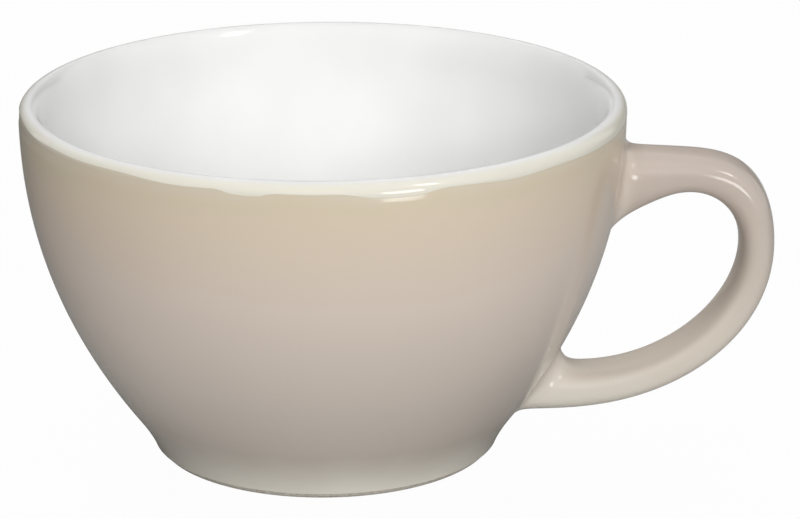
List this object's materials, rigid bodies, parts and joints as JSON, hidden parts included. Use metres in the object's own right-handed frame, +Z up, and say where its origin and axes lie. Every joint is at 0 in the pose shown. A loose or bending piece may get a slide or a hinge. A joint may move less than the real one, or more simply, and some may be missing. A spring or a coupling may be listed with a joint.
{
  "type": "coffee cup",
  "caption": "Wide rounded porcelain coffee cup with a glossy beige outside, a white inside and lip, a low foot ring and a looped side handle.",
  "frame": {"origin": "on the table, under the middle of the whole cup with its handle; the bowl's axis is 13.95 mm behind it along -X", "axes": "+Z up, +X from the bowl towards the handle"},
  "size_m": [0.1378, 0.11, 0.066],
  "materials": {
    "bisque_porcelain": "fired and unglazed, smooth and dull",
    "luting_slip": "fired and unglazed, dull",
    "white_glaze": "glossy white glaze",
    "beige_glaze": "glossy beige glaze",
    "clear_glaze": "thin glossy clear glaze over the body"
  },
  "bodies": {
    "root": {"bowl": "bisque_porcelain", "handle": "bisque_porcelain", "upper_slip_joint": "luting_slip", "lower_slip_joint": "luting_slip", "inner_glaze": "white_glaze", "outer_glaze": "beige_glaze", "underside_glaze": "clear_glaze"}
  },
  "joints": []
}
